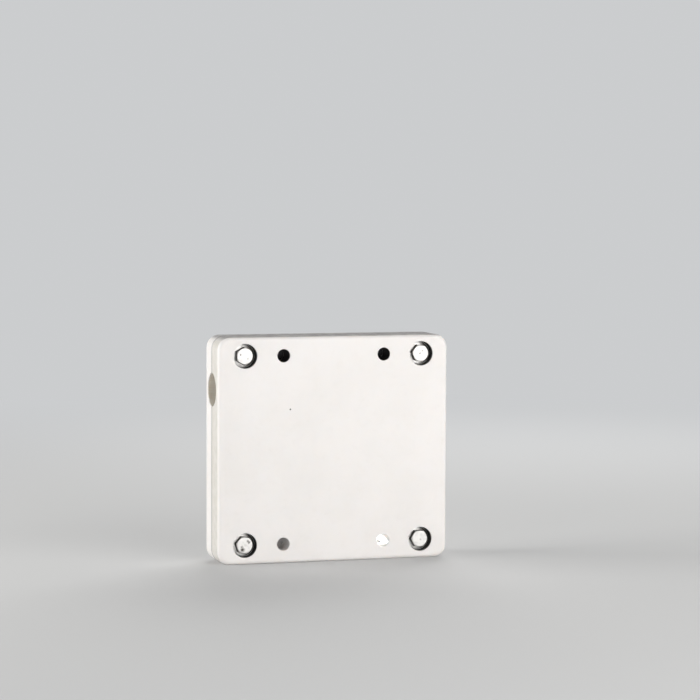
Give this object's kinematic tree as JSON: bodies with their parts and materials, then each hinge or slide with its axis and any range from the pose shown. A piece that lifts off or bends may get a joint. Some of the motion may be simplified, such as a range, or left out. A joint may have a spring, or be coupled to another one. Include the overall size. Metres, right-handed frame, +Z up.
{
  "type": "outboard motor bracket",
  "caption": "Split plastic clamp block that bolts round a boat's level stern rail and its upright stanchion, giving a flat pad for a small outboard's clamp.",
  "frame": {"origin": "where the axis of the level rail bore crosses the axis of the upright stanchion bore, on the seam between the two boards", "axes": "+X along the level rail to the right as seen from the front, +Z up along the stanchion, the front face with the bolt heads looks along -Y"},
  "size_m": [0.188, 0.0388, 0.178],
  "materials": {
    "polyethylene": "fine matt skin, off-white, with routed edges",
    "stainless": "plain stainless steel, lightly polished on the heads",
    "nylon": "natural nylon"
  },
  "bodies": {
    "root": {"front_board": "polyethylene", "back_board": "polyethylene", "bolt_top_left": "stainless", "bolt_top_right": "stainless", "bolt_bottom_left": "stainless", "bolt_bottom_right": "stainless", "head_washer_top_left": "stainless", "head_washer_top_right": "stainless", "head_washer_bottom_left": "stainless", "head_washer_bottom_right": "stainless", "nut_washer_top_left": "stainless", "nut_washer_top_right": "stainless", "nut_washer_bottom_left": "stainless", "nut_washer_bottom_right": "stainless", "lock_nut_top_left": "stainless", "lock_nut_top_right": "stainless", "lock_nut_bottom_left": "stainless", "lock_nut_bottom_right": "stainless", "nylon_ring_top_left": "nylon", "nylon_ring_top_right": "nylon", "nylon_ring_bottom_left": "nylon", "nylon_ring_bottom_right": "nylon"}
  },
  "joints": []
}
